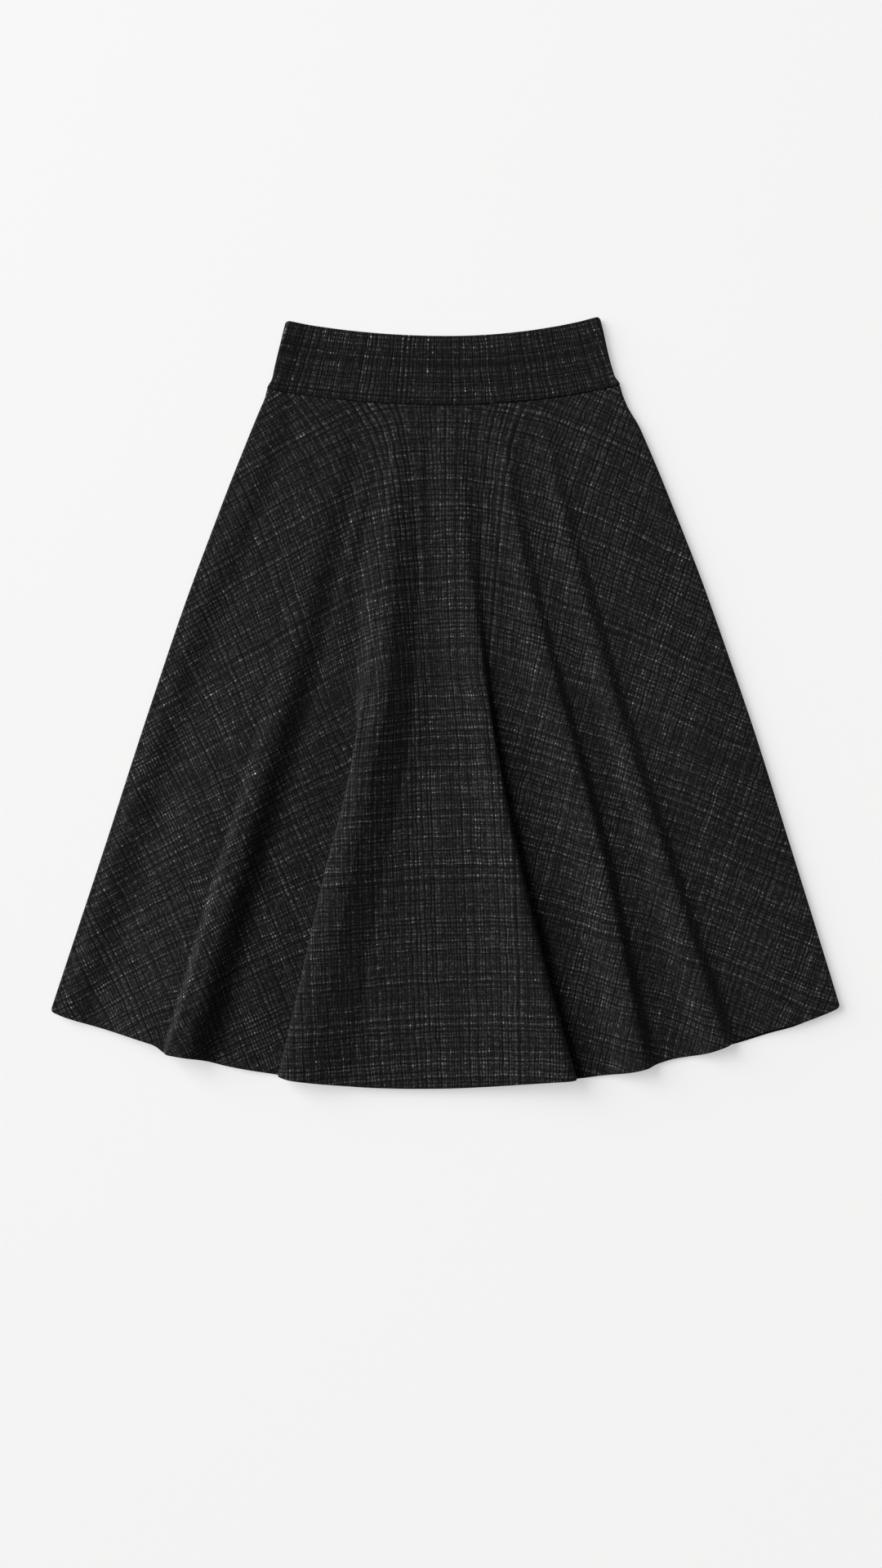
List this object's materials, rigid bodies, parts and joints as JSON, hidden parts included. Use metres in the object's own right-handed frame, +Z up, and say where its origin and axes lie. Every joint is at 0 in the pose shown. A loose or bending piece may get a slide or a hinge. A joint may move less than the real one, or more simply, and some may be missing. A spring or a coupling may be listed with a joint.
{
  "type": "circle skirt",
  "caption": "Half-circle midi skirt with a wide plain waistband, laid flat, front over back, its flutes pressed into soft folds.",
  "frame": {"origin": "on the surface that the skirt lies on, under the middle of its outline", "axes": "+Z up out of the surface, +Y from the hem towards the waistband, +X towards the right side of the skirt as seen from the front"},
  "size_m": [0.8371, 0.8176, 0.0267],
  "materials": {
    "skirt_cloth": "soft wool blend, charcoal black with a loose crosshatch of thin grey slub threads",
    "waistband_cloth": "the same cloth doubled and stiffened, with closer vertical threads"
  },
  "bodies": {
    "root": {"skirt_front": "skirt_cloth", "skirt_back": "skirt_cloth", "waistband_front": "waistband_cloth", "waistband_back": "waistband_cloth"}
  },
  "joints": []
}
